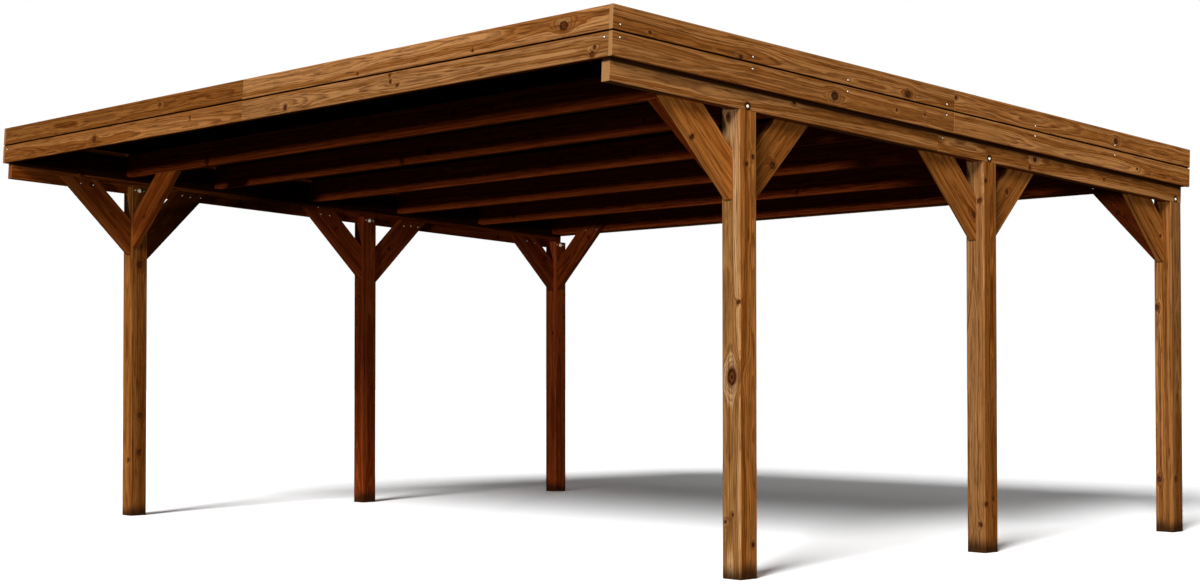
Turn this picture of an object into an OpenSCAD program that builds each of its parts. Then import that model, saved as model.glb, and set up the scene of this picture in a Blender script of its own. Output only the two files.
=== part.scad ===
// Open double carport of stained softwood.
// Six posts carry two side purlins, seven rafters lie across them, and a flat roof of
// ribbed steel sheets falls to the rear inside a fascia of two boards.
// X runs across the front, Y runs from the front to the rear, Z is up. Sizes in millimetres.

/* [Layout] */
// Distance across, between post centre lines
post_span = 5980; // [3000:5:7000]
// Distance front to rear, between neighbouring post centre lines
post_pitch = 2082; // [1500:1:2600]
// Distance from the front post centre line to the front ends of the purlins
front_overhang = 970; // [600:5:1200]
// Height of the purlin underside above the ground at the front posts
front_height = 2355; // [2000:5:2800]
// Fall of the roof to the rear, in degrees
roof_fall = 2.8; // [1:0.1:5]

/* [Posts] */
// Side of the square posts
post_side = 125; // [100:5:160]
// Width of the eased long edges of a post
post_ease = 4; // [2:1:12]
// Height of the inner tongue of a post above its purlin seat
tongue_h = 46; // [30:1:80]

/* [Purlins] */
// Thickness of a purlin
purlin_w = 55; // [40:1:65]
// Height of a purlin
purlin_h = 120; // [90:1:180]
// Distance of the splice of a purlin in front of the middle post centre line
splice_back = 500; // [300:5:900]
// Length of the halved lap of the splice
splice_lap = 150; // [80:5:240]
// Clearance in the splice
splice_gap = 0.3; // [0.2:0.1:1]

/* [Rafters] */
// Thickness of a rafter
rafter_w = 45; // [35:1:60]
// Height of a rafter
rafter_h = 170; // [100:1:200]
// Distance of the second rafter's rear face behind the front post centre line
rafter_back = 4; // [-20:1:20]
// Distance from the front post centre line to the third rafter
rafter_first = 732; // [500:1:900]
// Distance between the rafters after that, as a share of the post pitch
rafter_share = 0.42; // [0.38:0.01:0.44]

/* [Braces] */
// Thickness of a brace
brace_w = 45; // [35:1:60]
// Width of a brace across its grain
brace_h = 188; // [100:1:220]
// Drop of the lower edge of a brace to the front, below the purlin underside
drop_fore = 461; // [380:1:560]
// Drop of the lower edge of a brace to the rear
drop_aft = 493; // [380:1:560]
// Drop of the lower edge of a rear post's brace to the front
drop_rear = 398; // [320:1:560]
// Drop of the lower edge of a front cross brace
drop_cross = 414; // [340:1:560]
// Drop of the lower edge of a rear cross brace
drop_cross_rear = 386; // [300:1:560]
// Rise of a front cross brace for each unit of its run
cross_rise = 0.95; // [0.7:0.05:1]
// Length of the blunt nose at the foot of a brace
brace_nose = 12; // [5:1:40]
// Height that a brace laps up over the inner face of a purlin
brace_lap = 62; // [40:1:80]
// Height that a rear cross brace laps up over the face of its rafter
cross_lap = 100; // [60:1:120]

/* [Fascia] */
// Thickness of a fascia board
board_w = 26; // [18:1:35]
// Height of a fascia board
board_h = 119.5; // [90:0.5:150]
// Open joint between the upper and the lower boards
board_gap = 7; // [1:0.5:8]
// Thickness of the lip at the back of an upper board that closes this joint
lip_w = 12; // [8:1:18]
// Clearance under the lip
lip_gap = 0.5; // [0.3:0.1:1]
// Open joint where two lengths of a board butt
butt_gap = 2; // [1:0.5:6]
// Width of the eased long edges of the timbers
ease = 3; // [1:0.5:5]
// Height of the fascia bottom edge above the purlin underside
fascia_low = 111; // [80:1:118]
// Gap between the side fascia and the purlins
fascia_off = 13; // [5:1:30]
// Distance of the front joint from the middle, to the left
front_joint = 45; // [0:5:300]
// Distance of the joint of the side boards in front of the middle post centre line
side_back = 404; // [200:1:900]
// Distance that the side boards run past the rear board
side_past = 12; // [0:1:30]

/* [Roof sheets] */
// Number of sheets
sheets = 6; // [4:1:8]
// Ribs of one sheet, from one side lap to the next
ribs = 5; // [3:1:6]
// Height of a rib
rib_h = 35; // [20:1:45]
// Width of a rib on top
rib_top = 40; // [25:1:60]
// Width of a rib at its base
rib_base = 88; // [60:1:110]
// Thickness of the steel
steel = 0.75; // [0.6:0.05:1.5]
// Clearance in a side lap
lap_gap = 0.4; // [0.3:0.1:1]
// Gap between the sheets and the fascia
sheet_gap = 10; // [4:1:20]
// Overhang of the sheets past the rear ends of the side boards
sheet_drip = 8; // [0:1:25]

/* [Hidden] */

wood = [0.62, 0.42, 0.22];
sheet_grey = [0.30, 0.31, 0.33];

// The slope, and the places of the posts on the ground and along the slope.
slope = tan(roof_fall);
half_post = post_side / 2;
rear_at = 2 * post_pitch;
post_in = post_span / 2 - half_post;
post_out = post_span / 2 + half_post;
purlin_in = post_out - purlin_w;

// Stations along the slope, measured from the front post centre line.
purlin_front = -front_overhang;
purlin_rear = (rear_at + half_post) / cos(roof_fall);
fascia_front = purlin_front - board_w;
board_rear = purlin_rear + board_w;
roof_rear = board_rear + side_past;
splice_at = post_pitch - splice_back;
side_joint = post_pitch - side_back;
sheet_front = purlin_front + sheet_gap;
sheet_rear = roof_rear + sheet_drip;

// Heights square to the slope, measured from the purlin underside.
rafter_top = purlin_h + rafter_h;
fascia_mid = fascia_low + board_h + board_gap;
fascia_top = fascia_mid + board_h;

// Faces across: the boards stand outside the purlins and the rafters end against them.
board_in = post_out + fascia_off;
board_out = board_in + board_w;
sheet_side = board_in - sheet_gap;

// The whole stands with the middle of its length at y = 0.
y_low = fascia_front * cos(roof_fall) + fascia_low * sin(roof_fall);
y_board = roof_rear * cos(roof_fall) + fascia_top * sin(roof_fall);
y_sheet = sheet_rear * cos(roof_fall) + (rafter_top + rib_h + 2 * steel + lap_gap) * sin(roof_fall);
y_shift = -(y_low + max(y_board, y_sheet)) / 2;

// Front faces of the rafters: the first and the last lie flush with the purlin ends.
rafter_pitch = rafter_share * post_pitch;
rafter_at = [purlin_front, rafter_back - rafter_w, rafter_first - rafter_w / 2,
             rafter_first + rafter_pitch - rafter_w / 2,
             rafter_first + 2 * rafter_pitch - rafter_w / 2,
             rafter_first + 3 * rafter_pitch - rafter_w / 2, purlin_rear - rafter_w];

// Puts what is drawn along the slope into its place; y runs down the slope to the rear.
module on_slope() {
    translate([0, y_shift, front_height])
        rotate([-roof_fall, 0, 0])
            children();
}

// Section of a timber with its four long edges eased, corner at the origin.
module section(w, h, e) {
    polygon([[e, 0], [w - e, 0], [w, e], [w, h - e], [w - e, h], [e, h], [0, h - e], [0, e]]);
}

// Section of a fascia board with its inner face at the origin and its outer face to way = 1 or
// way = -1; an upper board has a lip along its inner face.
module board_section(upper, way) {
    lip = lip_gap - board_gap;
    foot = upper ? [[0, lip], [lip_w, lip], [lip_w, 0]] : [[0, ease], [ease, 0]];
    rest = [[board_w - ease, 0], [board_w, ease], [board_w, board_h - ease],
            [board_w - ease, board_h], [ease, board_h], [0, board_h - ease]];
    polygon([for (p = concat(foot, rest)) [way * p[0], p[1]]]);
}

// Timber of the given section lying along y, from y0 to y1.
module along(x, z, y0, y1) {
    translate([x, y1, z])
        rotate([90, 0, 0])
            linear_extrude(height = y1 - y0)
                children();
}

// Timber of the given section lying across, from x0 to x1.
module across(y, z, x0, x1) {
    translate([x0, y, z])
        rotate([90, 0, 90])
            linear_extrude(height = x1 - x0)
                children();
}

// Post number i from the front: its outer part is cut down to a sloping seat for the
// purlin, its inner part stands up behind the purlin as a tongue.
module post_right(i) {
    far = front_height + post_side;
    color(wood)
        difference() {
            translate([post_in, y_shift + i * post_pitch - half_post, 0])
                linear_extrude(height = far)
                    section(post_side, post_side, post_ease);
            on_slope()
                translate([purlin_in, i * post_pitch - 3 * post_side, 0])
                    cube([2 * purlin_w, 6 * post_side, far]);
            on_slope()
                translate([post_in - post_side, i * post_pitch - 3 * post_side, tongue_h])
                    cube([3 * post_side, 6 * post_side, far]);
        }
}

// Purlin of two lengths, halved together side by side at the splice.
module purlin_right(rear) {
    start = rear ? splice_at + splice_gap : purlin_front;
    end = rear ? purlin_rear : splice_at + splice_lap;
    cut_x = rear ? purlin_in - 1 : purlin_in + purlin_w / 2 - splice_gap / 2;
    cut_y = rear ? splice_at - 1 : splice_at;
    color(wood)
        on_slope()
            difference() {
                along(purlin_in, 0, start, end)
                    section(purlin_w, purlin_h, ease);
                translate([cut_x, cut_y, -1])
                    cube([purlin_w / 2 + splice_gap / 2 + 1, splice_lap + splice_gap + 1, purlin_h + 2]);
            }
}

// Rafter number i from the front, lying on both purlins.
module rafter(i) {
    color(wood)
        on_slope()
            across(rafter_at[i], purlin_h, -board_in, board_in)
                section(rafter_w, rafter_h, ease);
}

// Outline of a brace: u from the post face outwards, v from the purlin underside upwards.
// The brace climbs by rise for each unit of u, its lower edge starts drop below the purlin
// underside, and its top is cut at the height lap, along a line that climbs by k.
function brace_end(drop, rise, k, lap) = (drop + lap + k * half_post) / (rise - k);
function brace_outline(drop, rise, k, lap) =
    let (reach = brace_h * sqrt(1 + rise * rise), nose = brace_nose * rise - drop)
    let (low = brace_end(drop, rise, k, lap), up = brace_end(drop - reach, rise, k, lap))
    [[0, reach - drop], [0, nose], [brace_nose, nose],
     [low, rise * low - drop], [up, rise * up - drop + reach]];

// Brace from post i to the purlin, to the front (way = -1) or to the rear (way = 1).
module brace_right(i, way, drop) {
    seat = front_height - i * post_pitch * slope;
    pts = brace_outline(drop, 1, -way * slope, brace_lap);
    color(wood)
        translate([purlin_in - brace_w, y_shift + i * post_pitch + way * half_post, seat])
            rotate([90, 0, 90])
                linear_extrude(height = brace_w)
                    polygon([for (p = pts) [way * p[0], p[1]]]);
}

// Brace across, square to the slope, from the inner face of a post up to a rafter: the front
// ones end under theirs, in its plane, the rear ones lap over the inner face of theirs.
module cross_right(y, drop, rise, lap) {
    color(wood)
        on_slope()
            translate([post_in, y + brace_w, 0])
                rotate([90, 0, 0])
                    linear_extrude(height = brace_w)
                        polygon([for (p = brace_outline(drop, rise, 0, lap)) [-p[0], p[1]]]);
}

// Front fascia: each board of two lengths, butted near the middle.
module front_board(upper, left) {
    z = upper ? fascia_mid : fascia_low;
    x0 = left ? -board_in : -front_joint + butt_gap / 2;
    x1 = left ? -front_joint - butt_gap / 2 : board_in;
    color(wood)
        on_slope()
            across(purlin_front, z, x0, x1)
                board_section(upper, -1);
}

// Rear board: one board high, because the roof drains over it; of two lengths like the front.
module rear_boards() {
    color(wood)
        on_slope()
            for (x0 = [-board_in, butt_gap / 2])
                across(purlin_rear, fascia_low, x0, x0 + board_in - butt_gap / 2)
                    board_section(false, 1);
}

// Side fascia: the boards run past the ends of the front boards.
module side_board_right(upper, rear) {
    z = upper ? fascia_mid : fascia_low;
    y0 = rear ? side_joint + butt_gap / 2 : fascia_front;
    y1 = rear ? roof_rear : side_joint - butt_gap / 2;
    color(wood)
        on_slope()
            along(board_in, z, y0, y1)
                board_section(upper, 1);
}

// Ribbed sheets, each lapped over the last rib of the one before.
cover = 2 * sheet_side / sheets;
rib_pitch = (cover - rib_base / sheets) / ribs;
flank = atan2(rib_h, (rib_base - rib_top) / 2);
lip = 6;

// Half width of a rib at height v, for a face lying g outside the plain underside.
function rib_half(v, g) = rib_base / 2 + g / sin(flank) - v / tan(flank);
function rib_face(x, g, floor_v) =
    let (v = rib_h + g)
    [[x - rib_half(floor_v, g), floor_v], [x - rib_half(v, g), v],
     [x + rib_half(v, g), v], [x + rib_half(floor_v, g), floor_v]];
// One face of a sheet: t is 0 for the underside and the steel thickness for the upper side.
function sheet_face(x, t, over) =
    [for (j = [0 : ribs])
        for (p = [0 : 3])
            let (g = t + (j == 0 ? over : 0), edge = (j == 0 && p == 0) || (j == ribs && p == 3))
            rib_face(x + j * rib_pitch, g, edge ? lip : t)[p]];
function turned(list) = [for (i = [len(list) - 1 : -1 : 0]) list[i]];

module roof_sheets() {
    first = -sheet_side + rib_base / 2;
    color(sheet_grey)
        on_slope()
            for (i = [0 : sheets - 1])
                translate([0, sheet_rear, rafter_top])
                    rotate([90, 0, 0])
                        linear_extrude(height = sheet_rear - sheet_front)
                            let (x = first + i * ribs * rib_pitch, over = i > 0 ? steel + lap_gap : 0)
                            polygon(concat(sheet_face(x, 0, over), turned(sheet_face(x, steel, over))));
}

// The left side is the mirror image of the right side.
module left() {
    mirror([1, 0, 0])
        children();
}

post_right(0);  // post_front_right
post_right(1);  // post_middle_right
post_right(2);  // post_rear_right
left() post_right(0);  // post_front_left
left() post_right(1);  // post_middle_left
left() post_right(2);  // post_rear_left
purlin_right(false);  // purlin_right_front
purlin_right(true);  // purlin_right_rear
left() purlin_right(false);  // purlin_left_front
left() purlin_right(true);  // purlin_left_rear
rafter(0);  // rafter_front_edge
rafter(1);  // rafter_front_posts
rafter(2);  // rafter_third
rafter(3);  // rafter_fourth
rafter(4);  // rafter_fifth
rafter(5);  // rafter_sixth
rafter(6);  // rafter_rear_edge
brace_right(0, -1, drop_fore);  // brace_front_right_fore
brace_right(0, 1, drop_aft);  // brace_front_right_aft
cross_right(rafter_at[1], drop_cross, cross_rise, purlin_h);  // brace_front_right_cross
brace_right(1, -1, drop_fore);  // brace_middle_right_fore
brace_right(1, 1, drop_aft);  // brace_middle_right_aft
brace_right(2, -1, drop_rear);  // brace_rear_right_fore
cross_right(purlin_rear - rafter_w - brace_w, drop_cross_rear, 1, purlin_h + cross_lap);  // brace_rear_right_cross
left() brace_right(0, -1, drop_fore);  // brace_front_left_fore
left() brace_right(0, 1, drop_aft);  // brace_front_left_aft
left() cross_right(rafter_at[1], drop_cross, cross_rise, purlin_h);  // brace_front_left_cross
left() brace_right(1, -1, drop_fore);  // brace_middle_left_fore
left() brace_right(1, 1, drop_aft);  // brace_middle_left_aft
left() brace_right(2, -1, drop_rear);  // brace_rear_left_fore
left() cross_right(purlin_rear - rafter_w - brace_w, drop_cross_rear, 1, purlin_h + cross_lap);  // brace_rear_left_cross
front_board(false, false);  // front_board_lower_right
front_board(false, true);  // front_board_lower_left
front_board(true, false);  // front_board_upper_right
front_board(true, true);  // front_board_upper_left
side_board_right(false, false);  // side_board_right_lower_front
side_board_right(false, true);  // side_board_right_lower_rear
side_board_right(true, false);  // side_board_right_upper_front
side_board_right(true, true);  // side_board_right_upper_rear
left() side_board_right(false, false);  // side_board_left_lower_front
left() side_board_right(false, true);  // side_board_left_lower_rear
left() side_board_right(true, false);  // side_board_left_upper_front
left() side_board_right(true, true);  // side_board_left_upper_rear
rear_boards();
roof_sheets();
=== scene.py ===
import math
import random

import bmesh
import bpy
from mathutils import Matrix, Vector


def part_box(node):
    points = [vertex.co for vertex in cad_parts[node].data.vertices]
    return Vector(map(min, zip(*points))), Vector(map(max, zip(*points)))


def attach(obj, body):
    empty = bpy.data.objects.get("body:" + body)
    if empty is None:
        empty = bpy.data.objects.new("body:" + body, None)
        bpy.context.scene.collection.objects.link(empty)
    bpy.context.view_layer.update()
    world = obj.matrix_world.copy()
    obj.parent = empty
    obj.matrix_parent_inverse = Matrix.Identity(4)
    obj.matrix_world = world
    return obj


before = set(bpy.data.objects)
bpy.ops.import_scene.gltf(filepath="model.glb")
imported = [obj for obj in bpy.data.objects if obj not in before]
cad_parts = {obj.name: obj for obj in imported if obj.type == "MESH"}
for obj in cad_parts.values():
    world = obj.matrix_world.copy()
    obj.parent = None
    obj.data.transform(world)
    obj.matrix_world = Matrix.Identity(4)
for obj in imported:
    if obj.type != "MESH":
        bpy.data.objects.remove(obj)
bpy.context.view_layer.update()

# Posts
# Six square posts of stained pine, planed, with eased edges. The outer half of each head is
# cut down to a seat for the purlin, the inner half stands up behind the purlin as a tongue.
# The feet stand bare on the ground and are dark with damp.


class Flow:
    """One socket of a material. Sums and products of flows add Math nodes, node() adds any other."""

    def __init__(self, tree, socket=None):
        self.tree = tree
        self.socket = socket

    def node(self, kind, settings, values, out=0):
        made = self.tree.nodes.new(kind)
        for name, setting in settings.items():
            setattr(made, name, setting)
        for key, value in values.items():
            if isinstance(value, Flow):
                self.tree.links.new(value.socket, made.inputs[key])
            else:
                made.inputs[key].default_value = value
        return Flow(self.tree, made.outputs[out] if made.outputs else None)

    def math(self, operation, *values):
        return self.node("ShaderNodeMath", {"operation": operation}, dict(enumerate(values)))

    def __add__(self, other):
        return self.math("ADD", self, other)

    def __sub__(self, other):
        return self.math("SUBTRACT", self, other)

    def __rsub__(self, other):
        return self.math("SUBTRACT", other, self)

    def __mul__(self, other):
        return self.math("MULTIPLY", self, other)

    def __truediv__(self, other):
        return self.math("DIVIDE", self, other)

    __radd__ = __add__
    __rmul__ = __mul__


def new_finish(name):
    """An empty material, and the flow that its nodes start from."""
    finish = bpy.data.materials.new(name)
    finish.use_nodes = True
    finish.node_tree.nodes.clear()
    return finish, Flow(finish.node_tree)


def vector(operation, *values, out=0):
    """A Vector Math node on flows and plain triples."""
    flow = next(value for value in values if isinstance(value, Flow))
    return flow.node("ShaderNodeVectorMath", {"operation": operation}, dict(enumerate(values)), out)


def fade(value, start, end):
    """0 up to start and 1 from end on, softly; start may be the larger of the two."""
    settings = {"interpolation_type": "SMOOTHSTEP"}
    return value.node("ShaderNodeMapRange", settings, {0: value, 1: start, 2: end})


def blend(factor, first, second, how="MIX"):
    """Two colours mixed by a factor."""
    flow = next(value for value in (factor, first, second) if isinstance(value, Flow))
    settings = {"data_type": "RGBA", "blend_type": how}
    return flow.node("ShaderNodeMix", settings, {0: factor, 6: first, 7: second}, 2)


def rgb(colour, tone=1.0, stain_and_shade=(1.0, 1.0, 1.0)):
    """A colour made lighter or darker by a tone and tinted by a stain or a painted shade tint."""
    return (*(part * tone * tint for part, tint in zip(colour, stain_and_shade)), 1.0)


def mottle(local, draw, along, over, detail, out="Fac"):
    """Noise drawn out along the grain, with so many patches to a metre along and over it."""
    shift = [draw.uniform(-50, 50) for axis in range(3)]
    drawn = vector("MULTIPLY_ADD", local, (along, over, over), shift)
    values = {"Vector": drawn, "Scale": 1.0, "Detail": detail, "Roughness": 0.55}
    return local.node("ShaderNodeTexNoise", {}, values, out)


# The wood under a faded stain: pale, common and late wood, cut ends, knots and wet feet.
PINE_PALE = (0.48, 0.208, 0.062)
PINE_GROUND = (0.290, 0.100, 0.019)
PINE_LATE = (0.090, 0.023, 0.004)
PINE_END = (0.33, 0.180, 0.074)
# Near black for knot rims, checks and the rings round screws and bolts, and also for painted shade along
# joints and under the fascia.
BLACK_MARK_AND_SHADE = (0.018, 0.005, 0.002)
KNOT_WOOD = (0.060, 0.016, 0.005)
KNOT_HEART = (0.170, 0.060, 0.020)
DAMP_WOOD = (0.032, 0.0125, 0.005)
# Tints: the stains, faded and deep; two painted shade tints for pieces under the roof; painted light on
# faces toward the front; and painted shade on the backs of boards.
FADED = (1.0, 1.0, 1.0)
DEEP = (1.0, 0.86, 0.63)
PAINTED_SHADE_TINT = (1.0, 0.60, 0.36)
DEEP_PAINTED_SHADE_TINT = (1.1, 0.48, 0.32)
PAINTED_LIGHT_TINT = (1.0, 1.5, 3.0)
PAINTED_BACK_SHADE = (0.16, 0.10, 0.08)


def stained_pine(piece, origin, grain, across, half, pith, tone=1.0, ease=0.003, stain_and_shade=FADED,
                 knots=(), checks=(), marks=(), damp=0.0, dirt_and_shade_line=None, painted_front_light=0.0, back=None):
    """Pine sawn from a log: growth rings about the pith, branches that show as knots, and stain.

    The pith is given over the section, from its middle. A knot is a point on a face and a radius,
    a check a point on a face with its lowest and highest place along the grain, a mark the
    point of a screw head and the radius of the dark ring painted about it, and the dirt and shade
    line a point on a line along an edge, with how far from it the wood is painted dark, as dirt and
    painted shade in a joint or as painted shadow. The stain and shade is a real stain or a painted
    shade tint. Damp is how high a foot is wet, painted front light how far the faces toward the
    front are painted paler as painted light, and back the way that a board's back faces, which is
    painted dark as painted shade.
    """
    draw = random.Random(piece)
    finish, flow = new_finish("stained_pine_" + piece)
    turn = Matrix((grain, across, grain.cross(across))).transposed()
    place = flow.node("ShaderNodeTexCoord", {}, {}, "Object")
    mapped = {"Vector": place, "Location": origin, "Rotation": turn.to_euler()}
    local = flow.node("ShaderNodeMapping", {"vector_type": "TEXTURE"}, mapped)
    along = vector("DOT_PRODUCT", local, (1, 0, 0), out="Value")
    core = vector("SUBTRACT", local, (0, *pith))

    # The log sways and tapers, so a sawn face cuts its rings in arches.
    sway, ripple = 0.042, 0.005
    heart = vector("MULTIPLY_ADD", mottle(local, draw, 1.1, 2.5, 1.0, "Color"), (0, sway, sway), core)
    heart = vector("MULTIPLY_ADD", mottle(local, draw, 7.0, 18.0, 2.0, "Color"), (0, ripple, ripple), heart)
    heart = vector("SUBTRACT", heart, (0, (sway + ripple) / 2, (sway + ripple) / 2))
    depth = vector("LENGTH", vector("MULTIPLY", heart, (0, 1, 1)), out="Value") + along * 0.007

    # Branches grow out from the pith; the rings swell round them.
    uneven = mottle(local, draw, 40.0, 60.0, 2.0)
    near = None
    for point, radius in knots:
        spot = turn.inverted() @ (Vector(point) - origin)
        arm = Vector((0, spot.y - pith[0], spot.z - pith[1]))
        reach = arm.length
        arm.normalize()
        outward = vector("DOT_PRODUCT", core, arm, out="Value")
        aside = vector("DOT_PRODUCT", core, (0, -arm.z, arm.y), out="Value")
        rise = along - spot.x - (outward - reach) * draw.uniform(-0.35, 0.35)
        girth = fade(outward, -0.2 * reach, 1.2 * reach) * (radius * 1.12) + 0.0005
        gap = flow.math("SQRT", rise * rise * draw.uniform(0.45, 1.0) + aside * aside) / girth
        gap = gap + flow.math("LESS_THAN", outward, 0.0) * 9.0
        depth = depth - flow.math("EXPONENT", gap * gap * -0.18) * radius
        gap = gap * (0.4 + uneven * 1.2)
        near = gap if near is None else flow.math("MINIMUM", near, gap)

    # Each ring darkens slowly to its late wood and ends sharply.
    width = draw.uniform(0.0046, 0.0068)
    phase = depth / width + mottle(local, draw, 0.2, 34.0, 1.0) * 2.2
    saw = flow.math("FRACT", phase)
    late = fade(saw, 0.25, 0.82) * fade(saw, 1.0, 0.94)
    years = {"W": phase * 0.34 + draw.uniform(0, 90), "Scale": 1.0, "Detail": 2.0, "Roughness": 0.6}
    band = flow.node("ShaderNodeTexNoise", {"noise_dimensions": "1D"}, years)
    fibre = mottle(local, draw, 12.0, 420.0, 2.0)
    streak = mottle(local, draw, 0.9, 70.0, 3.0)
    fleck = mottle(local, draw, 7.0, 130.0, 4.0)
    cloud = mottle(local, draw, 1.6, 7.0, 3.0)

    # Slow years leave dark bands and fast ones pale bands; stain darkens the late wood and some streaks.
    pale, ground, dark = (rgb(wood, tone, stain_and_shade) for wood in (PINE_PALE, PINE_GROUND, PINE_LATE))
    colour = blend(fade(band, 0.36, 0.62), pale, ground)
    colour = blend(late * (0.20 + cloud * 0.66), colour, dark)
    colour = blend(fade(streak, 0.52, 0.74) * 0.5, colour, dark)
    colour = blend(fade(fleck, 0.46, 0.24) * 0.6, colour, pale)
    colour = blend(fade(fleck, 0.52, 0.70) * 0.8, colour, dark)
    colour = blend(1.0, colour, 0.60 + cloud * 0.54 + fibre * 0.24, "MULTIPLY")

    # Painted shade: pieces under the roof carry a shade tint on their faces toward the front and the right,
    # and their faces to the left and the rear go back to the deep stain. Painted light makes what faces the
    # front paler, painted shade darkens the back of a board, and worn edges are paler.
    normal = flow.node("ShaderNodeNewGeometry", {}, {}, "Normal")
    # Painted shade: with a shade tint, the faces toward the front and the right keep the darker, redder
    # colour and tone, and the faces to the left and the rear are turned back to the deep stain at a tone of
    # one.
    if stain_and_shade in (PAINTED_SHADE_TINT, DEEP_PAINTED_SHADE_TINT):
        outer = vector("DOT_PRODUCT", normal, (-0.7, 0.7, 0), out="Value")
        painted_shade_removal = [faded / (tone * tint) for faded, tint in zip(DEEP, stain_and_shade)]
        colour = blend(fade(outer, -0.3, 0.3), colour, rgb(painted_shade_removal), "MULTIPLY")
    # Painted light: faces toward the front are made paler.
    if painted_front_light:
        ahead = vector("DOT_PRODUCT", normal, (0, -1, 0), out="Value")
        colour = blend(fade(ahead, 0.4, 0.9) * painted_front_light, colour, rgb(PAINTED_LIGHT_TINT), "MULTIPLY")
    # Painted shade: the back of a board, which faces in under the roof, is made much darker.
    if back is not None:
        behind = vector("DOT_PRODUCT", normal, back, out="Value")
        colour = blend(fade(behind, 0.4, 0.9), colour, rgb(PAINTED_BACK_SHADE), "MULTIPLY")
    over = vector("ABSOLUTE", local)
    inward = half[0] + half[1] - vector("DOT_PRODUCT", over, (0, 1, 1), out="Value")
    worn = fade(inward, ease + 0.006, ease * 0.9) * fade(cloud, 0.35, 0.6)
    colour = blend(worn * 0.35, colour, pale)

    # Cut ends show the rings on paler wood.
    facing = vector("DOT_PRODUCT", normal, grain, out="Value")
    cut = fade(flow.math("ABSOLUTE", facing), 0.5, 0.8)
    colour = blend(cut * 0.9, colour, blend(late * 0.5, rgb(PINE_END, tone, stain_and_shade), ground))

    # A knot has a darker zone round it, rings of its own and a black rim that is broken in places.
    if near is not None:
        colour = blend(fade(near, 2.6, 0.9) * 0.5, colour, rgb(KNOT_WOOD, 1.8, stain_and_shade))
        rings = flow.math("SINE", near * 11.0 + uneven * 8.0) * 0.5 + 0.5
        branch = blend(rings * fade(near, 0.0, 0.5), rgb(KNOT_WOOD, 0.7), rgb(KNOT_HEART, 1.0, stain_and_shade))
        colour = blend(fade(near, 1.1, 0.85), colour, branch)
        rim = fade(near, 0.62, 0.92) * fade(near, 1.3, 1.0) * fade(uneven, 0.36, 0.58)
        colour = blend(rim, colour, rgb(BLACK_MARK_AND_SHADE))

    # Checks are thin splits along the grain that run in towards the pith.
    crack = None
    for point, low, high in checks:
        spot = turn.inverted() @ (Vector(point) - origin)
        arm = Vector((0, spot.y - pith[0], spot.z - pith[1])).normalized()
        outward = vector("DOT_PRODUCT", core, arm, out="Value")
        wander = mottle(local, draw, 3.0, 0.0, 3.0)
        aside = vector("DOT_PRODUCT", core, (0, -arm.z, arm.y), out="Value") + (wander - 0.5) * 0.02
        taper = fade(along, low, low + 0.25) * fade(along, high, high - 0.25) * (0.6 + wander * 0.8)
        split = fade(flow.math("ABSOLUTE", aside), taper * 0.0022, taper * 0.0006)
        split = split * fade(outward, 0.0, 0.02)
        crack = split if crack is None else flow.math("MAXIMUM", crack, split)
    if crack is not None:
        colour = blend(crack * 0.9, colour, rgb(BLACK_MARK_AND_SHADE))

    # A dark ring is painted round each screw and bolt head, a band along an edge is painted dark as dirt
    # and painted shade in a board joint and as the fascia's painted shadow on a purlin, and a foot soaks up
    # water.
    ring = None
    for point, radius in marks:
        spot = turn.inverted() @ (Vector(point) - origin)
        far = vector("DISTANCE", local, spot, out="Value") / radius
        ring = far if ring is None else flow.math("MINIMUM", ring, far)
    # A dark ring is painted round each screw and bolt head.
    if ring is not None:
        colour = blend(fade(ring, 1.0, 0.75) * 0.85, colour, rgb(BLACK_MARK_AND_SHADE))
    # Painted shade: a band along the line is made nearly black, as dirt and shade in a board joint and as
    # the fascia's shadow on a purlin.
    if dirt_and_shade_line is not None:
        spot = turn.inverted() @ (dirt_and_shade_line[0] - origin)
        aside = flow.math("ABSOLUTE", vector("DOT_PRODUCT", local, (0, 0, 1), out="Value") - spot.z)
        colour = blend(fade(aside, dirt_and_shade_line[1] * 1.2, dirt_and_shade_line[1] * 0.8) * 0.92, colour, rgb(BLACK_MARK_AND_SHADE))
    if damp:
        soaked = fade(along + (cloud - 0.5) * damp, damp, damp * 0.15)
        colour = blend(soaked * 0.9, colour, rgb(DAMP_WOOD))

    # Late wood and fibres stand proud of the face, and checks lie in it.
    relief = late * 0.5 + fibre * 0.6
    if crack is not None:
        relief = relief - crack * 3.0
    bump = flow.node("ShaderNodeBump", {}, {"Strength": 0.5, "Distance": 0.0008, "Height": relief})
    rough = 0.70 - late * 0.10 + fibre * 0.10
    values = {"Base Color": colour, "Roughness": rough, "Normal": bump, "Specular IOR Level": 0.0}
    shader = flow.node("ShaderNodeBsdfPrincipled", {}, values)
    flow.node("ShaderNodeOutputMaterial", {}, {"Surface": shader})
    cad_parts[piece].material_slots[0].material = finish


def rounded(piece, width, steps):
    """The planed edges of a timber, rounded by sanding."""
    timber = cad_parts[piece]
    weld = timber.modifiers.new("weld", "WELD")
    weld.merge_threshold = 0.00002
    edge = timber.modifiers.new("rounded_edges", "BEVEL")
    edge.width = width
    edge.segments = steps
    edge.limit_method = "ANGLE"
    edge.angle_limit = math.radians(25)


RIGHT = Vector((1, 0, 0))
REAR = Vector((0, 1, 0))
UP = Vector((0, 0, 1))
POST_HALF, POST_EASE = 0.0625, 0.004
DAMP_HEIGHT = 0.11
POST_FACES = {"front": -REAR, "right": RIGHT, "rear": REAR, "left": -RIGHT}


def on_face(foot, face, aside, height):
    """A point on a face of a post, from the middle of its foot."""
    outward = POST_FACES[face]
    across = RIGHT if outward.x == 0 else REAR
    return foot + outward * POST_HALF + across * aside + UP * height


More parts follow.
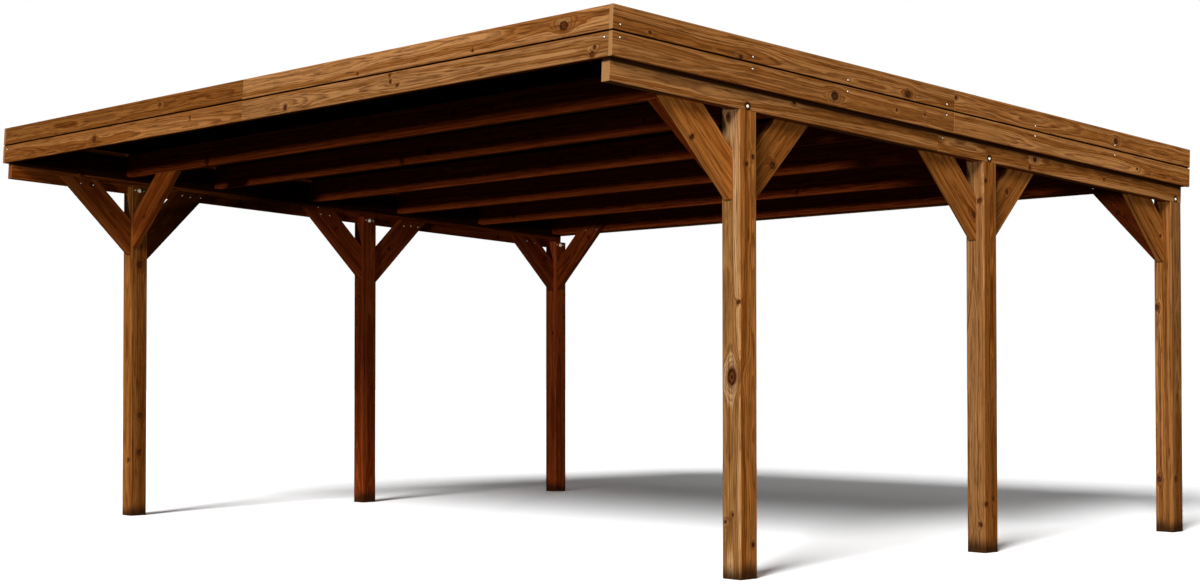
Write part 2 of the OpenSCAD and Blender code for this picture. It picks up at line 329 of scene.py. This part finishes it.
# Knots that show: face, distance from the middle of the face along x or y, height, radius.
POST_KNOTS = {
    "post_front_right": [("front", -0.017, 2.327, 0.008), ("front", 0.005, 1.015, 0.026),
                         ("front", 0.050, 1.389, 0.009), ("front", -0.040, 0.286, 0.008),
                         ("front", 0.008, 0.324, 0.006), ("right", -0.011, 2.085, 0.008),
                         ("right", 0.034, 2.124, 0.008), ("right", 0.030, 0.172, 0.009)],
    "post_middle_right": [("front", 0.031, 2.030, 0.011), ("front", 0.031, 0.163, 0.009),
                          ("right", -0.041, 2.145, 0.009), ("right", -0.050, 0.281, 0.009),
                          ("right", 0.015, 0.310, 0.007)],
    "post_rear_right": [("front", -0.033, 0.343, 0.013), ("front", -0.045, 1.467, 0.012),
                        ("right", -0.022, 0.345, 0.012)],
    "post_front_left": [("right", 0.003, 1.833, 0.016), ("right", 0.008, 0.731, 0.011),
                        ("right", 0.005, 0.460, 0.012), ("front", 0.026, 0.407, 0.010)],
}
# How light each post is, its stain or painted shade tint, and how far its front is painted paler as painted
# light.
POST_TONE = {"post_front_right": (1.28, DEEP, 1.0), "post_middle_right": (1.06, DEEP, 0.65),
             "post_rear_right": (0.95, FADED, 0.0), "post_front_left": (0.86, DEEP, 0.0),
             "post_middle_left": (0.62, DEEP_PAINTED_SHADE_TINT, 0.0), "post_rear_left": (0.88, DEEP_PAINTED_SHADE_TINT, 0.0)}
for piece, (tone, stain_and_shade, painted_front_light) in POST_TONE.items():
    draw = random.Random(piece + " log")
    low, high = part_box(piece)
    foot = Vector(((low.x + high.x) / 2, (low.y + high.y) / 2, 0))
    pith = (draw.uniform(-0.03, 0.03), draw.uniform(-0.03, 0.03))
    listed = POST_KNOTS.get(piece, [])
    taken = {knot[0] for knot in listed}
    free = [face for face in POST_FACES if face not in taken]
    knots = [(on_face(foot, *place), radius) for *place, radius in listed]
    for number in range(3):
        spot = on_face(foot, draw.choice(free), draw.uniform(-0.045, 0.045), draw.uniform(0.2, 2.2))
        knots.append((spot, draw.uniform(0.007, 0.016)))
    checks = []
    for face in draw.sample(sorted(POST_FACES), 2):
        start = draw.uniform(0.1, 0.9)
        spot = on_face(foot, face, draw.uniform(-0.03, 0.03), 1.0)
        checks.append((spot, start, start + draw.uniform(0.7, 1.2)))
    stained_pine(piece, foot, UP, RIGHT, (POST_HALF, POST_HALF), pith, tone, POST_EASE, stain_and_shade,
                 knots, checks, damp=DAMP_HEIGHT, painted_front_light=painted_front_light)
    rounded(piece, 0.0018, 2)

# Purlins
# Two side purlins of stained pine on the post seats, each of two lengths halved together in
# front of the middle post. They fall to the rear with the roof, and their ends are sawn square.
FALL = math.radians(2.8)
DOWN = Vector((0, math.cos(FALL), -math.sin(FALL)))
SQUARE = Vector((0, math.sin(FALL), math.cos(FALL)))


def middle(piece):
    """The middle of a timber."""
    low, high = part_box(piece)
    return (low + high) / 2


def on_slope(x, back, height):
    """A point of the roof: back down the slope from the front posts, height above the purlin seat."""
    return PURLIN_SEAT + RIGHT * x + DOWN * back + SQUARE * height


PURLIN_SEAT = Vector((0, middle("post_front_right").y, 2.355))
PURLIN_IN, PURLIN_OUT = (edge.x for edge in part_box("purlin_right_front"))
PURLIN_HALF_W, PURLIN_HALF_H = 0.0275, 0.060
POST_BACK = [(middle(f"post_{row}_right").y - PURLIN_SEAT.y) / math.cos(FALL)
             for row in ("front", "middle", "rear")]
BOLT_AHEAD, BOLT_HEIGHT = 0.005, 0.021
SPLICE_SCREW = (1.625, 0.082)
# How far the dark ring reaches round a screw and round a bolt, and how far the fascia's painted shadow
# reaches down the purlin.
SCREW_DARK_RING, BOLT_DARK_RING, PAINTED_FASCIA_SHADOW = 0.010, 0.027, 0.027
# Knots on the faces that show: distance down the slope, height, radius.
PURLIN_KNOTS = {"purlin_right_rear": [(2.540, 0.074, 0.012), (2.490, 0.021, 0.008), (3.30, 0.05, 0.006)],
                "purlin_right_front": [(0.35, 0.09, 0.006)],
                "purlin_left_front": [(-0.43, 0.10, 0.010), (0.9, 0.04, 0.012)],
                "purlin_left_rear": [(2.2, 0.06, 0.012), (3.5, 0.03, 0.009)]}
# How light each length is, and its stain or painted shade tint.
PURLIN_TONE = {"purlin_right_front": (1.30, FADED), "purlin_right_rear": (1.36, FADED),
               "purlin_left_front": (0.74, PAINTED_SHADE_TINT), "purlin_left_rear": (0.62, DEEP_PAINTED_SHADE_TINT)}
for piece, listed in PURLIN_KNOTS.items():
    draw = random.Random(piece + " log")
    hand = 1 if "right" in piece else -1
    shown = PURLIN_OUT if hand > 0 else PURLIN_IN
    knots = [(on_slope(hand * shown, back, height), radius) for back, height, radius in listed]
    marks = [(on_slope(hand * face, *SPLICE_SCREW), SCREW_DARK_RING) for face in (PURLIN_IN, PURLIN_OUT)]
    bolts = [on_slope(hand * PURLIN_OUT, back - BOLT_AHEAD, BOLT_HEIGHT) for back in POST_BACK]
    marks += [(bolt, BOLT_DARK_RING) for bolt in bolts]
    pith = (-hand * draw.uniform(0.045, 0.07), draw.uniform(-0.03, 0.03))
    tone, stain_and_shade = PURLIN_TONE[piece]
    # A band along the top of each purlin is painted nearly black as the fascia's shadow on it.
    stained_pine(piece, middle(piece), DOWN, RIGHT, (PURLIN_HALF_W, PURLIN_HALF_H), pith, tone,
                 stain_and_shade=stain_and_shade, knots=knots, marks=marks,
                 dirt_and_shade_line=(on_slope(0, 0, 2 * PURLIN_HALF_H), PAINTED_FASCIA_SHADOW))
    rounded(piece, 0.0012, 2)

# Bolts at the post heads
# A zinc-plated coach bolt goes through the purlin and the post's tongue, with its domed head
# outside and a washer and nut inside. Two screws beside the nut hold the tongue to the purlin.
NUT_HEIGHT = 0.019
TONGUE_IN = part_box("post_front_right")[0].x
TONGUE_SCREW = 0.036
ZINC_BRIGHT, ZINC_DULL = (0.95, 0.88, 0.72), (0.74, 0.68, 0.56)

zinc, flow = new_finish("dull_zinc")
spot = flow.node("ShaderNodeTexCoord", {}, {}, "Object")
spangle = flow.node("ShaderNodeTexNoise", {}, {"Vector": spot, "Scale": 260.0, "Detail": 3.0})
dulled = blend(fade(spangle, 0.35, 0.7), rgb(ZINC_BRIGHT), rgb(ZINC_DULL))
values = {"Base Color": dulled, "Metallic": 0.6, "Roughness": 0.30 + spangle * 0.2}
flow.node("ShaderNodeOutputMaterial", {}, {"Surface": flow.node("ShaderNodeBsdfPrincipled", {}, values)})


def turned(profile, steps):
    """A shape turned about z from the radii and heights of its outline."""
    shape = bmesh.new()
    line = [shape.verts.new((radius, 0, height)) for radius, height in profile]
    edges = [shape.edges.new(pair) for pair in zip(line, line[1:])]
    bmesh.ops.spin(shape, geom=line + edges, cent=(0, 0, 0), axis=(0, 0, 1),
                   angle=2 * math.pi, steps=steps, use_merge=True)
    bmesh.ops.remove_doubles(shape, verts=shape.verts, dist=1e-6)
    bmesh.ops.recalc_face_normals(shape, faces=shape.faces)
    return shape


def add_hexagon(shape, flats, low, high, ease):
    """A hexagon head or nut on the shape, with eased corners on top."""
    corner = flats / 2 / math.cos(math.pi / 6)
    made = bmesh.ops.create_circle(shape, cap_ends=True, segments=6, radius=corner,
                                   matrix=Matrix.Translation((0, 0, low)))
    base = made["verts"][0].link_faces[0]
    grown = bmesh.ops.extrude_face_region(shape, geom=[base])["geom"]
    tops = [item for item in grown if isinstance(item, bmesh.types.BMVert)]
    bmesh.ops.translate(shape, verts=tops, vec=(0, 0, high - low))
    rim = [item for item in grown if isinstance(item, bmesh.types.BMEdge)]
    bmesh.ops.bevel(shape, geom=rim, offset=ease, affect="EDGES", segments=2, profile=0.5, material=-1)
    bmesh.ops.recalc_face_normals(shape, faces=shape.faces)


def set_out(name, shape, places, finish):
    """Copies of a small shape in one piece, each at a point and facing its own way."""
    mesh = bpy.data.meshes.new(name)
    shape.to_mesh(mesh)
    group = bmesh.new()
    for point, facing in places:
        count = len(group.verts)
        group.from_mesh(mesh)
        group.verts.ensure_lookup_table()
        put = Matrix.Translation(point) @ facing.to_track_quat("Z", "Y").to_matrix().to_4x4()
        bmesh.ops.transform(group, matrix=put, verts=group.verts[count:])
    group.to_mesh(mesh)
    group.free()
    mesh.materials.append(finish)
    piece = bpy.data.objects.new(name, mesh)
    bpy.context.scene.collection.objects.link(piece)
    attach(piece, "root")


dome = turned([(0, 0.0054), (0.0032, 0.0051), (0.0060, 0.0042), (0.0080, 0.0027), (0.0090, 0.0010),
               (0.0090, -0.001), (0, -0.001)], 24)
nut = turned([(0, 0.0185), (0.0040, 0.0185), (0.0048, 0.0177), (0.0042, 0.0168), (0.0050, 0.0160),
              (0.0044, 0.0151), (0.0050, 0.0143), (0.0044, 0.0134), (0.0050, 0.0126), (0.0044, 0.0117),
              (0.0050, 0.0109), (0.0050, 0.0024), (0.0142, 0.0024), (0.0150, 0.0018), (0.0150, -0.001),
              (0, -0.001)], 20)
add_hexagon(nut, 0.017, 0.0022, 0.0105, 0.0008)
pan_head = turned([(0, 0.0006), (0.0016, 0.0006), (0.0019, 0.0022), (0.0032, 0.0021), (0.0045, 0.0012),
                   (0.0050, 0.0002), (0.0050, -0.001), (0, -0.001)], 12)
heads, nuts, tongue_screws = [], [], []
for hand in (1, -1):
    for back in POST_BACK:
        bolt = back - BOLT_AHEAD
        heads.append((on_slope(hand * PURLIN_OUT, bolt, BOLT_HEIGHT), RIGHT * hand))
        nuts.append((on_slope(hand * TONGUE_IN, bolt, NUT_HEIGHT), RIGHT * -hand))
        for aside in (-TONGUE_SCREW, TONGUE_SCREW):
            tongue_screws.append((on_slope(hand * TONGUE_IN, bolt + aside, NUT_HEIGHT), RIGHT * -hand))
set_out("post_bolt_heads", dome, heads, zinc)
set_out("post_bolt_nuts", nut, nuts, zinc)
set_out("tongue_screws", pan_head, tongue_screws, zinc)
splice = [(on_slope(hand * face, *SPLICE_SCREW), RIGHT * hand * out)
          for hand in (1, -1) for face, out in ((PURLIN_OUT, 1), (PURLIN_IN, -1))]
set_out("splice_screws", pan_head, splice, zinc)

# Rafters
# Seven rafters of stained pine lie across both purlins. The first and the last are flush with
# the purlin ends, where the front and rear boards are screwed to them.
RAFTERS = ("front_edge", "front_posts", "third", "fourth", "fifth", "sixth", "rear_edge")
RAFTER_LOW = 2 * PURLIN_HALF_H
RAFTER_HALF_W, RAFTER_HALF_H = 0.0225, 0.085
RAFTER_BACK = []
for name in RAFTERS:
    piece = "rafter_" + name
    draw = random.Random(piece + " log")
    centre = middle(piece)
    RAFTER_BACK.append((centre - PURLIN_SEAT).dot(DOWN))
    knots = []
    for number in range(5):
        face = draw.choice((-1, 1))
        height = RAFTER_LOW + draw.uniform(0.02, 0.12)
        spot = on_slope(draw.uniform(-2.8, 2.8), RAFTER_BACK[-1] + face * RAFTER_HALF_W, height)
        knots.append((spot, draw.uniform(0.007, 0.015)))
    pith = (draw.choice((-1, 1)) * draw.uniform(0.04, 0.07), draw.uniform(-0.03, 0.03))
    # The rafters take the deeper painted shade tint.
    stained_pine(piece, centre, RIGHT, DOWN, (RAFTER_HALF_W, RAFTER_HALF_H), pith,
                 draw.uniform(0.80, 0.94), stain_and_shade=DEEP_PAINTED_SHADE_TINT, knots=knots)
    rounded(piece, 0.0012, 2)

# Braces
# Fourteen braces of stained pine stand in the corners of the posts. The side braces lap the
# inner faces of the purlins and the rear cross braces the last rafter, each with two or three
# screws near its top; the front cross braces end under the rafter over the front posts.
BRACE_HALF_W, BRACE_HALF_H = 0.0225, 0.094
BRACE_NOSE, BRACE_EASE = 0.012, 0.001
BRACE_IN = PURLIN_IN - 2 * BRACE_HALF_W
CROSS_FACE = RAFTER_BACK[-1] - RAFTER_HALF_W - 2 * BRACE_HALF_W
# Screws: row and way of the brace, then distance down the slope and height on its inner face.
SIDE_SCREWS = {("front", "fore"): [(-0.463, 0.022), (-0.364, 0.020)],
               ("front", "aft"): [(0.368, 0.027), (0.436, 0.023), (0.526, 0.026)],
               ("middle", "fore"): [(1.621, 0.023), (1.705, 0.021)],
               ("middle", "aft"): [(2.448, 0.013), (2.520, 0.020), (2.593, 0.020)],
               ("rear", "fore"): [(3.794, 0.021), (3.888, 0.013)]}
# Cross braces: rise for each unit of the run, and screws by distance from the roof's middle and height.
CROSS = {"front": (0.95, []), "rear": (1.0, [(2.573, 0.130), (2.447, 0.131)])}
# How light some braces are, and knots that show: distance behind the front posts, height, radius.
BRACE_TONE = {"brace_front_right_fore": 1.60, "brace_front_right_aft": 1.05,
              "brace_rear_right_cross": 0.52, "brace_front_left_cross": 1.40,
              "brace_front_left_aft": 0.35, "brace_front_left_fore": 0.85}
BRACE_KNOTS = {"brace_front_right_fore": (-0.353, 2.196, 0.008),
               "brace_middle_right_fore": (2.00, 1.95, 0.012),
               "brace_rear_right_fore": (4.06, 1.93, 0.007)}
brace_screws = []


def brace(piece, foot, lean, across, screws, shown):
    """A brace from the foot of its lower edge at the post, leaning out; shown is its seen face."""
    draw = random.Random(piece + " log")
    grain = lean.normalized()
    origin = foot + UP * (BRACE_HALF_H * lean.length)
    if piece in BRACE_KNOTS:
        back, height, radius = BRACE_KNOTS[piece]
        knot = (Vector((PURLIN_IN, PURLIN_SEAT.y + back, height)), radius)
    else:
        edge = grain.cross(across)
        spot = origin + grain * draw.uniform(0.15, 0.5) + edge * draw.uniform(-0.06, 0.06)
        knot = (spot + across * (shown * BRACE_HALF_W), draw.uniform(0.007, 0.014))
    pith = (-shown * draw.uniform(0.03, 0.07), draw.uniform(-0.05, 0.05))
    inner = "left" in piece or "cross" in piece
    # Braces under the roof take a painted shade tint, the front left ones the lighter one; the others take
    # the deep stain.
    stain_and_shade = PAINTED_SHADE_TINT if "front_left" in piece else DEEP_PAINTED_SHADE_TINT if inner else DEEP
    tone = BRACE_TONE.get(piece, draw.uniform(0.60, 0.72) if inner else draw.uniform(1.08, 1.22))
    stained_pine(piece, origin, grain, across, (BRACE_HALF_W, BRACE_HALF_H), pith, tone, BRACE_EASE,
                 stain_and_shade, [knot], marks=[(point, SCREW_DARK_RING) for point in screws])
    rounded(piece, 0.003, 3)


for hand, side in ((1, "right"), (-1, "left")):
    for (row, way), places in SIDE_SCREWS.items():
        piece = f"brace_{row}_{side}_{way}"
        low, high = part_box(piece)
        lean = Vector((0, -1 if way == "fore" else 1, 1))
        foot = Vector(((low.x + high.x) / 2, high.y if way == "fore" else low.y, low.z - BRACE_NOSE))
        points = [on_slope(hand * BRACE_IN, *place) for place in places]
        brace(piece, foot, lean, RIGHT, points, 1)
        brace_screws += [(point, RIGHT * -hand) for point in points]
    for row, (rise, places) in CROSS.items():
        piece = f"brace_{row}_{side}_cross"
        low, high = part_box(piece)
        foot = Vector((high.x if hand > 0 else low.x, low.y + BRACE_HALF_W, low.z - BRACE_NOSE * rise))
        points = [on_slope(hand * out, CROSS_FACE, height) for out, height in places]
        brace(piece, foot, RIGHT * -hand + SQUARE * rise, DOWN, points, -1)
        brace_screws += [(point, -DOWN) for point in points]
set_out("brace_screws", pan_head, brace_screws, zinc)

# Fascia boards
# Two boards high on the front and the sides and one at the rear, of planed stained pine with an
# open joint between them. Each length is screwed to the ends of the rafters; the side boards
# run past the ends of the front boards and show their sawn ends.
BOARD_HALF_W, BOARD_HALF_H = 0.013, 0.05975
BOARD_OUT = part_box("side_board_right_lower_front")[1].x
BOARD_FRONT = -0.996
REAR_BOARD_HEIGHT = 0.17
SCREW_HEIGHT = {"upper": 0.265, "lower": 0.204}
END_SCREW_OUT, END_SCREW_HEIGHT = 3.036, 0.205
# The boards' joint and the edges beside it are painted dark as dirt and painted shade.
JOINT_HEIGHT, JOINT_DIRT_AND_SHADE = 0.234, 0.005
# Knots that show: distance across or down the slope, height, radius.
BOARD_KNOTS = {
    "front_board_upper_left": [(-0.982, 0.306, 0.009)],
    "front_board_upper_right": [(2.750, 0.296, 0.019), (2.067, 0.263, 0.006), (1.090, 0.260, 0.006)],
    "front_board_lower_left": [(-1.794, 0.161, 0.016), (-0.62, 0.19, 0.006)],
    "front_board_lower_right": [(0.406, 0.144, 0.013), (1.380, 0.215, 0.007), (1.450, 0.154, 0.006),
                                (1.389, 0.182, 0.008), (2.956, 0.133, 0.011), (2.972, 0.165, 0.008)],
    "side_board_right_upper_front": [(-0.109, 0.250, 0.009), (-0.751, 0.262, 0.006),
                                     (1.248, 0.268, 0.015)],
    "side_board_right_upper_rear": [(1.688, 0.314, 0.008), (3.364, 0.292, 0.015)],
    "side_board_right_lower_front": [(0.627, 0.165, 0.020), (1.154, 0.168, 0.006),
                                     (1.405, 0.177, 0.006)],
    "side_board_right_lower_rear": [(3.62, 0.15, 0.006)],
}
# How light each board is and how far its front is painted paler as painted light.
BOARD_TONE = {"front_board_upper_left": (0.62, 0.0), "front_board_lower_left": (0.82, 0.2),
              "front_board_upper_right": (1.06, 0.45), "front_board_lower_right": (1.02, 0.6),
              "side_board_right_upper_front": (1.34, 0.0), "side_board_right_lower_front": (1.30, 0.0),
              "side_board_right_upper_rear": (1.42, 0.0), "side_board_right_lower_rear": (1.40, 0.0)}
BOARDS = [f"front_board_{level}_{side}" for level in ("lower", "upper") for side in ("right", "left")]
BOARDS += [f"side_board_{side}_{level}_{part}" for side in ("right", "left")
           for level in ("lower", "upper") for part in ("front", "rear")]
board_screws = []
for piece in BOARDS + ["rear_boards"]:
    draw = random.Random(piece + " log")
    low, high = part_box(piece)
    rear = piece == "rear_boards"
    level = "upper" if "upper" in piece else "lower"
    hand = -1 if "left" in piece else 1
    pith = [draw.uniform(0.045, 0.085), draw.uniform(-0.03, 0.03)]
    tone, painted_front_light = BOARD_TONE.get(piece, (draw.uniform(1.05, 1.2), 0.0))
    listed = BOARD_KNOTS.get(piece)
    if piece.startswith("side"):
        grain, across, outside = DOWN, RIGHT, RIGHT * hand
        first, last = low.y - PURLIN_SEAT.y, high.y - PURLIN_SEAT.y
        if listed is None:
            listed = [(draw.uniform(first, last), SCREW_HEIGHT[level] + draw.uniform(-0.05, 0.05),
                       draw.uniform(0.006, 0.015)) for number in range(3)]
        knots = [(on_slope(hand * BOARD_OUT, back, height), radius) for back, height, radius in listed]
        screws = [on_slope(hand * BOARD_OUT, back, SCREW_HEIGHT[level])
                  for back in RAFTER_BACK[:-1] if first < back < last]
        pith[0] *= -hand
    else:
        grain, across, outside = RIGHT, DOWN, DOWN if rear else -DOWN
        back = RAFTER_BACK[-1] + RAFTER_HALF_W + 2 * BOARD_HALF_W if rear else BOARD_FRONT
        if listed is None:
            listed = [(draw.uniform(-2.9, 2.9), REAR_BOARD_HEIGHT + draw.uniform(-0.04, 0.04),
                       draw.uniform(0.006, 0.015)) for number in range(5)]
        knots = [(on_slope(x, back, height), radius) for x, height, radius in listed]
        screws = [on_slope(x, back, END_SCREW_HEIGHT) for x in (-END_SCREW_OUT, END_SCREW_OUT)
                  if low.x < x < high.x and level == "lower"]
        pith[0] *= -1 if rear else 1
    # The joint between the boards is painted dark as dirt and painted shade, the backs dark as painted
    # shade, and some fronts paler as painted light.
    stained_pine(piece, middle(piece), grain, across, (BOARD_HALF_W, BOARD_HALF_H), pith, tone,
                 stain_and_shade=DEEP if piece.startswith("front") else FADED, knots=knots,
                 marks=[(point, SCREW_DARK_RING) for point in screws],
                 dirt_and_shade_line=None if rear else (on_slope(0, 0, JOINT_HEIGHT), JOINT_DIRT_AND_SHADE),
                 painted_front_light=painted_front_light, back=-outside)
    rounded(piece, 0.0012, 2)
    board_screws += [(point, outside) for point in screws]
set_out("fascia_screws", pan_head, board_screws, zinc)

# Roof sheets
# Six ribbed sheets of coil-coated steel lie on the rafters, each lapped over the last rib of its neighbour,
# and drain over the rear board. They are grey above and near black below, a dark backing coat with painted
# shade on it, and are screwed through the pans with sealed hexagon-head screws.
COAT_CLEAN, COAT_DUSTY = (0.030, 0.032, 0.035), (0.075, 0.074, 0.070)
BACKING_AND_SHADE_CLEAN, BACKING_AND_SHADE_DUSTY = (0.004, 0.0035, 0.0032), (0.009, 0.008, 0.0075)

coat, flow = new_finish("dark_grey_coated_steel")
spot = flow.node("ShaderNodeTexCoord", {}, {}, "Object")
draw = random.Random("roof sheets")
turned_spot = flow.node("ShaderNodeMapping", {}, {"Vector": spot, "Rotation": (0, 0, math.pi / 2)})
runs = mottle(turned_spot, draw, 0.9, 26.0, 3.0)
dust = mottle(spot, draw, 3.0, 3.0, 4.0)
grit = mottle(spot, draw, 900.0, 900.0, 1.0)
paint = blend(fade(dust * 0.6 + runs * 0.4, 0.40, 0.66), rgb(COAT_CLEAN), rgb(COAT_DUSTY))
facing = vector("DOT_PRODUCT", flow.node("ShaderNodeNewGeometry", {}, {}, "Normal"), SQUARE, out="Value")
relief = flow.node("ShaderNodeBump", {}, {"Strength": 0.15, "Distance": 0.0003, "Height": grit})
values = {"Base Color": paint, "Roughness": 0.42 + runs * 0.25, "Normal": relief,
          "Specular IOR Level": 0.3}
upper = flow.node("ShaderNodeBsdfPrincipled", {}, values)
# Below, a dark backing coat made near black as painted shade.
backing_and_shade = blend(fade(dust, 0.4, 0.7), rgb(BACKING_AND_SHADE_CLEAN), rgb(BACKING_AND_SHADE_DUSTY))
values = {"Base Color": backing_and_shade, "Roughness": 0.8 + grit * 0.15, "Normal": relief,
          "Specular IOR Level": 0.0}
lower = flow.node("ShaderNodeBsdfPrincipled", {}, values)
both = flow.node("ShaderNodeMixShader", {}, {0: fade(facing, 0.1, -0.1), 1: upper, 2: lower})
flow.node("ShaderNodeOutputMaterial", {}, {"Surface": both})
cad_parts["roof_sheets"].material_slots[0].material = coat

SHEET_SIDE, STEEL = 3.0555, 0.00075
RIB_BASE, RIBS = 0.088, 30
RIB_PITCH = (2 * SHEET_SIDE - RIB_BASE) / RIBS
PAN_TOP = RAFTER_LOW + 2 * RAFTER_HALF_H + STEEL
sealed = turned([(0, 0.0024), (0.0062, 0.0024), (0.0078, 0.0014), (0.0080, -0.001), (0, -0.001)], 14)
add_hexagon(sealed, 0.008, 0.0022, 0.0075, 0.0007)
sheet_screws = []
for number, back in enumerate(RAFTER_BACK):
    every = 1 if number in (0, len(RAFTER_BACK) - 1) else 2
    for pan in range(0, RIBS, every):
        x = -SHEET_SIDE + RIB_BASE / 2 + (pan + 0.5) * RIB_PITCH
        sheet_screws.append((on_slope(x, back, PAN_TOP), SQUARE))
set_out("roof_sheet_screws", sealed, sheet_screws, zinc)

# Studio
# A plain pale floor that is white to the camera and keeps the shadow, one large soft light high at
# the front, a weak one from the right, three narrow ones near the horizon that reach in under the
# roof from the front, the right and the far side, a faint even light and the camera.
FLOOR_SEEN, FLOOR_BOUNCE = 2.3, 0.05
FLOOR_RADIUS = 120.0
AMBIENT = 0.04
WHITE = (1, 1, 1)


def looked_at(flow):
    """1 for what the camera sees, also in metal or glass, and 0 for light that bounces."""
    seen = flow.node("ShaderNodeLightPath", {}, {}, "Is Camera Ray")
    for ray in ("Is Glossy Ray", "Is Transmission Ray"):
        seen = flow.math("MAXIMUM", seen, flow.node("ShaderNodeLightPath", {}, {}, ray))
    return seen


ground, flow = new_finish("pale_floor")
tint = blend(looked_at(flow), rgb(WHITE, FLOOR_BOUNCE), rgb(WHITE, FLOOR_SEEN))
matt = flow.node("ShaderNodeBsdfDiffuse", {}, {"Color": tint})
flow.node("ShaderNodeOutputMaterial", {}, {"Surface": matt})
disc = bmesh.new()
bmesh.ops.create_circle(disc, cap_ends=True, segments=96, radius=FLOOR_RADIUS)
mesh = bpy.data.meshes.new("floor")
disc.to_mesh(mesh)
disc.free()
mesh.materials.append(ground)
floor = bpy.data.objects.new("floor", mesh)
bpy.context.scene.collection.objects.link(floor)

world = bpy.data.worlds.new("studio")
bpy.context.scene.world = world
world.use_nodes = True
world.node_tree.nodes.clear()
flow = Flow(world.node_tree)
strength = AMBIENT + looked_at(flow) * (1.0 - AMBIENT)
sky = flow.node("ShaderNodeBackground", {}, {"Color": rgb(WHITE), "Strength": strength})
flow.node("ShaderNodeOutputWorld", {}, {"Surface": sky})


def sun(name, strength, softness, toward):
    """A soft distant lamp that shines from the direction given."""
    lamp = bpy.data.lights.new(name, "SUN")
    lamp.energy = strength
    lamp.angle = math.radians(softness)
    thing = bpy.data.objects.new(name, lamp)
    thing.rotation_euler = Vector(toward).to_track_quat("Z", "Y").to_euler()
    bpy.context.scene.collection.objects.link(thing)


sun("main", 2.75, 18.6, (0.346, -0.797, 0.495))
sun("right", 0.22, 30.0, (0.80, -0.30, 0.50))
sun("front_low", 0.9, 5.0, (0.30, -0.95, 0.012))
sun("right_low", 0.40, 6.0, (0.98, -0.15, 0.02))
sun("far_low", 2.2, 4.0, (-0.62, 0.78, 0.012))

lens = bpy.data.cameras.new("camera")
lens.sensor_width = 36.0
lens.lens = 56.8188
lens.shift_x = 0.0022
lens.shift_y = 0.0344
lens.clip_end = 400.0
camera = bpy.data.objects.new("camera", lens)
camera.location = (9.4360, PURLIN_SEAT.y - 7.0843, 1.0242)
camera.rotation_euler = [math.radians(angle) for angle in (91.2612, 0.0232, 46.5903)]
bpy.context.scene.collection.objects.link(camera)
bpy.context.scene.camera = camera
bpy.context.scene.view_settings.view_transform = "Standard"
